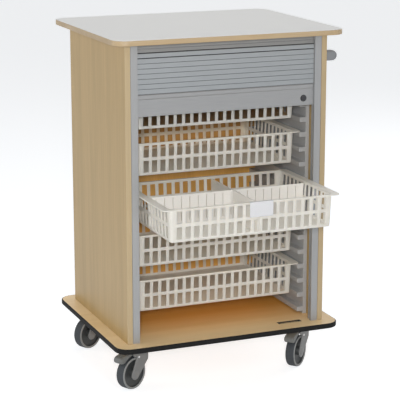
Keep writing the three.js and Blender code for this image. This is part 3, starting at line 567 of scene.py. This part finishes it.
def slotted_basket(node):
    """One open sheet, cut into a grid, with the slots taken out and the rim turned out."""
    lo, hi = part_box(node)
    mid = (lo + hi) / 2
    half = Vector((hi.x - mid.x - side_rim, hi.y - mid.y - end_rim, 0))
    rim = hi.z - basket_wall
    bm = bmesh.new()
    block(bm, (mid.x, mid.y, (rim + lo.z) / 2), (2 * half.x, 2 * half.y, rim - lo.z))
    lid = [face for face in bm.faces if face.normal.z > 0.9]
    bmesh.ops.delete(bm, geom=lid, context="FACES")
    corners = [e for e in bm.edges if abs(e.verts[0].co.z - e.verts[1].co.z) > hair]
    rounded(bm, corners, corner_round, 5)
    foot = [e for e in bm.edges if all(v.co.z < lo.z + hair for v in e.verts)]
    rounded(bm, foot, foot_round, 3)

    def slots(length):
        """Where the slots start and end along a wall, from its middle."""
        count = int((length - slot_margin) / slot_pitch)
        middles = [(column - (count - 1) / 2) * slot_pitch for column in range(count)]
        return [(at - slot_width / 2, at + slot_width / 2) for at in middles]

    across, along = slots(2 * half.x), slots(2 * half.y)
    tops = [hi.z - slot_drop - row * (slot_height + slot_row_gap) for row in (0, 1)]
    rows = [(top - slot_height, top) for top in tops]

    def cut(walls, point, normal):
        """Cut across the chosen walls without taking anything away."""
        geom = [part for face in bm.faces if walls(face) for part in (face, *face.edges, *face.verts)]
        bmesh.ops.bisect_plane(bm, geom=list(dict.fromkeys(geom)), plane_co=point, plane_no=normal)

    for span in across:
        for x in span:
            cut(lambda face: abs(face.normal.y) > 0.99, (mid.x + x, 0, 0), (1, 0, 0))
    for span in along:
        for y in span:
            cut(lambda face: abs(face.normal.x) > 0.99, (0, mid.y + y, 0), (0, 1, 0))
    for span in rows:
        for z in span:
            cut(lambda face: abs(face.normal.z) < 0.01, (0, 0, z), (0, 0, 1))

    def is_slot(face):
        """Whether a cut face lies in a slot."""
        at = face.calc_center_median()
        in_row = any(low < at.z < high for low, high in rows)
        if abs(face.normal.y) > 0.99:
            return in_row and any(low < at.x - mid.x < high for low, high in across)
        if abs(face.normal.x) > 0.99:
            return in_row and any(low < at.y - mid.y < high for low, high in along)
        return False

    bmesh.ops.delete(bm, geom=[face for face in bm.faces if is_slot(face)], context="FACES")
    for v in bm.verts:
        lean = wall_lean * (rim - v.co.z) / (rim - lo.z)
        for axis in (0, 1):
            off = v.co[axis] - mid[axis]
            into_corner = (abs(off) - half[axis] + corner_round) / corner_round
            v.co[axis] -= math.copysign(lean * max(into_corner, 0), off)

    mouth = [e for e in bm.edges if e.is_boundary and all(v.co.z > rim - hair for v in e.verts)]
    turned_out = bmesh.ops.extrude_edge_only(bm, edges=mouth)["geom"]
    spread = Vector(((hi.x - mid.x - basket_wall) / half.x, (hi.y - mid.y - basket_wall) / half.y, 1))
    about = Matrix.Translation(mid) @ Matrix.Diagonal((*spread, 1)) @ Matrix.Translation(-mid)
    bmesh.ops.transform(bm, matrix=about, verts=points_of(turned_out))
    edge = [part for part in turned_out if isinstance(part, bmesh.types.BMEdge)]
    lip = bmesh.ops.extrude_edge_only(bm, edges=edge)["geom"]
    bmesh.ops.translate(bm, vec=(0, 0, -rim_lip), verts=points_of(lip))
    return bm


for number in range(1, 6):
    node = f"basket_{number}"
    finish = {1: basket_painted_shade, 2: basket_painted_warm_shade}.get(number, basket_plastic)
    basket = dress(f"slotted_{node}", slotted_basket(node), finish, node, "basket_plastic", node)
    thickness = basket.modifiers.new("moulded_wall", "SOLIDIFY")
    thickness.thickness = basket_wall
    thickness.offset = -1
    thickness.use_even_offset = True
    softened = basket.modifiers.new("soft_edges", "BEVEL")
    softened.width = rim_round
    softened.segments = 2
    softened.limit_method = "ANGLE"
    softened.angle_limit = math.radians(50)
    basket.modifiers.move(0, 2)

# The pulled-out basket is parted by two white sheets that cross in half-laps. The long one is slit at
# the slot pitch, so that a cross sheet can stand at any slit. A white card holder clips over the rim.
divider_white = surface("divider_white", (0.80, 0.78, 0.74), 0.38, scale=420, mottle=0.02, relief=0.04)
milky(divider_white, 0.3, (1.0, 0.95, 0.85), 0.01)
long_bm = eased("long_divider", 0.0003)
lo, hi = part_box("long_divider")
slit_half = 0.0009
slit_foot, slit_top = lo.z + 0.012, hi.z - 0.007
slit_count = 18
slits = [(column - (slit_count - 1) / 2) * slot_pitch for column in range(slit_count)]
planes = [((x + edge, 0, 0), (1, 0, 0)) for x in slits for edge in (-slit_half, slit_half)]
planes += [((0, 0, z), (0, 0, 1)) for z in (slit_foot, slit_top)]
for point, normal in planes:
    geom = long_bm.verts[:] + long_bm.edges[:] + long_bm.faces[:]
    bmesh.ops.bisect_plane(long_bm, geom=geom, plane_co=point, plane_no=normal)
for slit in slits:
    window = [
        face for face in long_bm.faces
        if abs(face.normal.y) > 0.9 and abs(face.calc_center_median().x - slit) < slit_half
        and slit_foot < face.calc_center_median().z < slit_top
    ]
    bmesh.ops.delete(long_bm, geom=window, context="FACES")
    bmesh.ops.bridge_loops(long_bm, edges=[rim for rim in long_bm.edges if rim.is_boundary])
bmesh.ops.recalc_face_normals(long_bm, faces=long_bm.faces)
dress("long_sheet", long_bm, divider_white, "basket_3", "divider_plastic", "long_divider")
dress("cross_sheet", eased("cross_divider", 0.0003), divider_white, "basket_3", "divider_plastic",
      "cross_divider")
card_white = surface("card_white", (0.71, 0.715, 0.735), 0.35, scale=600, mottle=0.015, relief=0.03)
dress("card_holder", eased("label_clip", 0.0002), card_white, "basket_3", "label_plastic", "label_clip")

# Each castor is a pressed steel plate and swivel head, a moulded grey fork on a steel axle, and a dark tyre
# with a paler ring round each side, on a dark hub. The front two have a brake pedal over the wheel.
castor_steel = surface("castor_steel", (0.42, 0.42, 0.43), 0.38, metallic=0.85, scale=500, mottle=0.06)
pin_steel = surface("pin_steel", (0.85, 0.85, 0.86), 0.3, metallic=0.4, scale=500, mottle=0.03)
castor_plastic = surface("castor_plastic", (0.20, 0.203, 0.205), 0.5, scale=700, mottle=0.04, relief=0.1)
# The pedal hoods are painted darker than the forks: a painted shade for the shadow under the base board.
pedal_painted_shade = surface("pedal_painted_shade", (0.14, 0.145, 0.142), 0.5, scale=700, mottle=0.04, relief=0.1)
hub_plastic = surface("hub_plastic", (0.038, 0.041, 0.042), 0.5, scale=600, relief=0.08)
ring_rubber = surface("ring_rubber", (0.25, 0.257, 0.257), 0.6, scale=600, relief=0.06)
tyre_rubber = surface("tyre_rubber", (0.040, 0.046, 0.053), 0.75, scale=420, mottle=0.08, relief=0.15)
tyre_half = 0.0155
tyre_thick = 0.007
hub_half = 0.0145
boss_half = 0.0171
arm_middle = 0.020
arm_thick = 0.005
arm_end = 0.0165
arm_face = arm_middle + arm_thick / 2
cap_seat = arm_face - 0.0005
bolt_across, bolt_along = 0.036, 0.026
bolt_radius, bolt_height, bolt_sink = 0.0062, 0.005, 0.0024
axle_radius = 0.0055
stem_radius = 0.008
stem_bore = 0.0084
crown_radius = 0.029
crown_height = 0.0095
crown_round = 0.0015
shoulder_radius = 0.009
pivot_x, pivot_z = 0.036, -0.0245
rivet_x, rivet_z = 0.021, -0.037
hood_half = 0.0168
hood_edge = 0.0032
arch_radius = 0.060
arch_offset = 0.002
arch_heel, arch_sweep = math.radians(94), math.radians(48)
hood_toe = [
    (0.050, 0.0440), (0.057, 0.0445), (0.062, 0.048), (0.064, 0.0535), (0.063, 0.0595), (0.058, 0.065),
]
hood_top = [(0.045, 0.069), (0.020, 0.0725), (-0.005, 0.0735)]
hood_pin = 0.0029
rib_size = (0.0024, 0.022, 0.0016)


def put_in(bm, part):
    """Move one mesh in the making into another."""
    shell = bpy.data.meshes.new("part")
    part.to_mesh(shell)
    part.free()
    bm.from_mesh(shell)
    bpy.data.meshes.remove(shell)


def rod(bm, radius, length, place, sides=32):
    """Add a round bar with eased ends, its middle at the place and its axis along the place's Z."""
    made = bmesh.ops.create_cone(bm, cap_ends=True, segments=sides, radius1=radius, radius2=radius,
                                 depth=length, matrix=place)["verts"]
    rims = dict.fromkeys(rim for v in made for rim in v.link_edges)
    ends = [rim for rim in rims if rim.calc_face_angle(0) > 1]
    rounded(bm, ends, min(radius, length) * 0.12, 2)


def slab(bm, outline, thick, edge, place):
    """Add a plate with the given outline, its middle in the place's XY plane, with its edges rounded."""
    plate = bmesh.new()
    foot = plate.faces.new([plate.verts.new((x, y, -thick / 2)) for x, y in outline])
    raised = bmesh.ops.extrude_face_region(plate, geom=[foot])["geom"]
    bmesh.ops.translate(plate, vec=(0, 0, thick), verts=points_of(raised))
    bmesh.ops.recalc_face_normals(plate, faces=plate.faces)
    rims = [rim for rim in plate.edges if rim.calc_face_angle(0) > 1]
    rounded(plate, rims, edge, 4)
    bmesh.ops.transform(plate, matrix=place, verts=plate.verts)
    put_in(bm, plate)


def stretched(pegs):
    """The outline of a band pulled tight round a few pegs (radius, x, y)."""
    turns = [math.tau * step / 32 for step in range(32)]
    ring = [Vector((math.cos(turn), math.sin(turn))) for turn in turns]
    points = [Vector((x, y)) + radius * spoke for radius, x, y in pegs for spoke in ring]
    return [points[index] for index in convex_hull_2d(points)]


def mirrored(profile):
    """A half-section given for one side of the wheel, carried on over the other side."""
    return profile + [(radius, -place) for radius, place in reversed(profile)]


for corner in ("front_left", "front_right", "rear_left", "rear_right"):
    head_lo, head_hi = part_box(f"{corner}_castor_head")
    tyre_lo, tyre_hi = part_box(f"{corner}_tyre")
    plate_lo, plate_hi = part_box(f"{corner}_castor_plate")
    stem = Vector(((head_lo.x + head_hi.x) / 2, (head_lo.y + head_hi.y) / 2, plate_hi.z))
    hub = (tyre_lo + tyre_hi) / 2
    wheel_radius = (tyre_hi.z - tyre_lo.z) / 2
    rim_radius = wheel_radius - tyre_thick
    trail = (hub - stem).xy.length
    drop = hub.z - stem.z
    turn = math.atan2(hub.y - stem.y, hub.x - stem.x)
    here = Matrix.Translation(stem) @ Matrix.Rotation(turn, 4, "Z")
    axle = here @ Matrix.Translation((trail, 0, drop)) @ lying
    braked = corner.startswith("front")

    plate_bm = eased(f"{corner}_castor_plate", 0.0006)
    for bolt_x in (-bolt_across, bolt_across):
        for bolt_y in (-bolt_along, bolt_along):
            bolt = Matrix.Translation((stem.x + bolt_x, stem.y + bolt_y, plate_lo.z - bolt_sink))
            rod(plate_bm, bolt_radius, bolt_height, bolt, 6)
    dress(f"{corner}_plate", plate_bm, castor_steel, "cabinet", "castor_steel", f"{corner}_castor_plate")

    head_top = plate_lo.z - stem.z
    head_low = head_lo.z - stem.z
    head_bm = turned([
        (stem_bore, head_low), (0.0275, head_low), (0.030, head_low + 0.002), (0.030, head_low + 0.006),
        (0.0285, head_low + 0.0068), (0.0285, head_low + 0.0082), (0.030, head_low + 0.009),
        (0.0295, head_top - 0.002), (0.027, head_top), (stem_bore, head_top),
    ], Matrix.Translation(stem))
    dress(f"{corner}_head", head_bm, castor_steel, "cabinet", "castor_steel", f"{corner}_castor_head")

    crown_top = head_low - 0.0003
    crown_low = crown_top - crown_height
    stem_top = head_top - 0.0004
    fork_bm = turned([
        (0, crown_low), (crown_radius - crown_round, crown_low), (crown_radius, crown_low + crown_round),
        (crown_radius, crown_top - crown_round), (crown_radius - crown_round, crown_top),
        (stem_radius, crown_top), (stem_radius, stem_top), (0, stem_top),
    ], here)
    shoulder = crown_top - shoulder_radius
    rivet_bm = bmesh.new()
    for arm_side in (-1, 1):
        outward = Matrix.Rotation(math.radians(-90 * arm_side), 4, "X")
        cap_place = here @ Matrix.Translation((trail, arm_side * cap_seat, drop)) @ outward
        arm_plane = here @ Matrix.Translation((0, arm_side * arm_middle, 0)) @ lying
        arm = stretched([
            (shoulder_radius, -0.015, shoulder), (shoulder_radius, 0.014, shoulder),
            (shoulder_radius, -0.0145, shoulder - 0.022), (arm_end, trail + 0.001, drop - 0.004),
        ])
        slab(fork_bm, arm, arm_thick, 0.0016, arm_plane)
        cap = [(0, 0), (0.0125, 0), (0.0122, 0.0012), (0.010, 0.0021), (0.006, 0.0027), (0, 0.003)]
        put_in(fork_bm, turned(cap, cap_place, 32))
        if braked:
            lug = stretched([(shoulder_radius, 0, shoulder), (0.0092, pivot_x, pivot_z)])
            slab(fork_bm, lug, arm_thick - 0.0006, 0.0012, arm_plane)
            head = [(0, 0), (0.0036, 0), (0.0034, 0.0014), (0.002, 0.0022), (0, 0.0025)]
            rivet_place = here @ Matrix.Translation((rivet_x, arm_side * cap_seat, rivet_z)) @ outward
            put_in(rivet_bm, turned(head, rivet_place, 24))
    dress(f"{corner}_fork", fork_bm, castor_plastic, f"{corner}_castor", "castor_plastic",
          f"{corner}_castor_fork")
    if braked:
        dress(f"{corner}_fork_rivets", rivet_bm, pin_steel, f"{corner}_castor", "castor_steel")
    else:
        rivet_bm.free()

    axle_bm = bmesh.new()
    rod(axle_bm, axle_radius, 2 * arm_face, axle)
    dress(f"{corner}_axle_bolt", axle_bm, castor_steel, f"{corner}_castor", "castor_steel",
          f"{corner}_axle")

    hub_bm = turned(mirrored([
        (0.0065, -boss_half), (0.0125, -boss_half), (0.014, 0.0015 - boss_half), (0.0145, -0.006),
        (rim_radius - 0.0125, -0.005), (rim_radius - 0.0020, -0.0085),
        (rim_radius - 0.0012, 0.0008 - hub_half), (rim_radius - 0.0003, -hub_half),
    ]), axle)
    dress(f"{corner}_hub", hub_bm, hub_plastic, f"{corner}_wheel", "hub_plastic", f"{corner}_wheel_hub")
    ring_bm = bmesh.new()
    for ring_side in (-1, 1):
        facing = axle @ Matrix.Rotation(math.radians(90 - 90 * ring_side), 4, "X")
        put_in(ring_bm, turned([
            (wheel_radius - 0.0078, hub_half - 0.001), (wheel_radius - 0.0030, hub_half - 0.001),
            (wheel_radius - 0.0009, tyre_half - 0.0012), (wheel_radius - 0.0012, tyre_half - 0.0002),
            (wheel_radius - 0.0022, tyre_half + 0.0006), (wheel_radius - 0.0066, tyre_half + 0.0006),
            (wheel_radius - 0.0078, tyre_half - 0.0004),
        ], facing, 64))
    dress(f"{corner}_side_rings", ring_bm, ring_rubber, f"{corner}_wheel", "tyre_rubber")
    tyre_bm = turned(mirrored([
        (rim_radius, 0.001 - tyre_half), (rim_radius + 0.001, -tyre_half),
        (wheel_radius - 0.0032, -tyre_half), (wheel_radius - 0.0012, 0.0012 - tyre_half),
        (wheel_radius - 0.0002, 0.0034 - tyre_half), (wheel_radius, 0.0060 - tyre_half),
    ]), axle, 64)
    dress(f"{corner}_rubber", tyre_bm, tyre_rubber, f"{corner}_wheel", "tyre_rubber", f"{corner}_tyre")

    if braked:
        turns = [arch_heel - arch_sweep * step / 16 for step in range(17)]
        arch = [(arch_offset + arch_radius * math.cos(turn), arch_offset + arch_radius * math.sin(turn))
                for turn in turns]
        over_wheel = here @ Matrix.Translation((trail, 0, drop))
        hood_bm = bmesh.new()
        slab(hood_bm, arch + hood_toe + hood_top, 2 * hood_half, hood_edge, over_wheel @ lying)
        brow, crest = Vector(hood_toe[-1]), Vector(hood_top[0])
        slope = Matrix.Rotation(math.atan2(crest.y - brow.y, brow.x - crest.x), 4, "Y")
        for share in (0.1, 0.5, 0.9):
            rib = crest.lerp(brow, share)
            rib_place = over_wheel @ Matrix.Translation((rib.x, 0, rib.y)) @ slope
            bmesh.ops.create_cube(hood_bm, size=1, matrix=rib_place @ Matrix.Diagonal((*rib_size, 1)))
        pivot = here @ Matrix.Translation((pivot_x, 0, pivot_z)) @ lying
        rod(hood_bm, hood_pin, 2 * arm_face - 0.001, pivot)
        dress(f"{corner}_pedal_hood", hood_bm, pedal_painted_shade, f"{corner}_pedal", "castor_plastic",
              f"{corner}_brake_pedal")
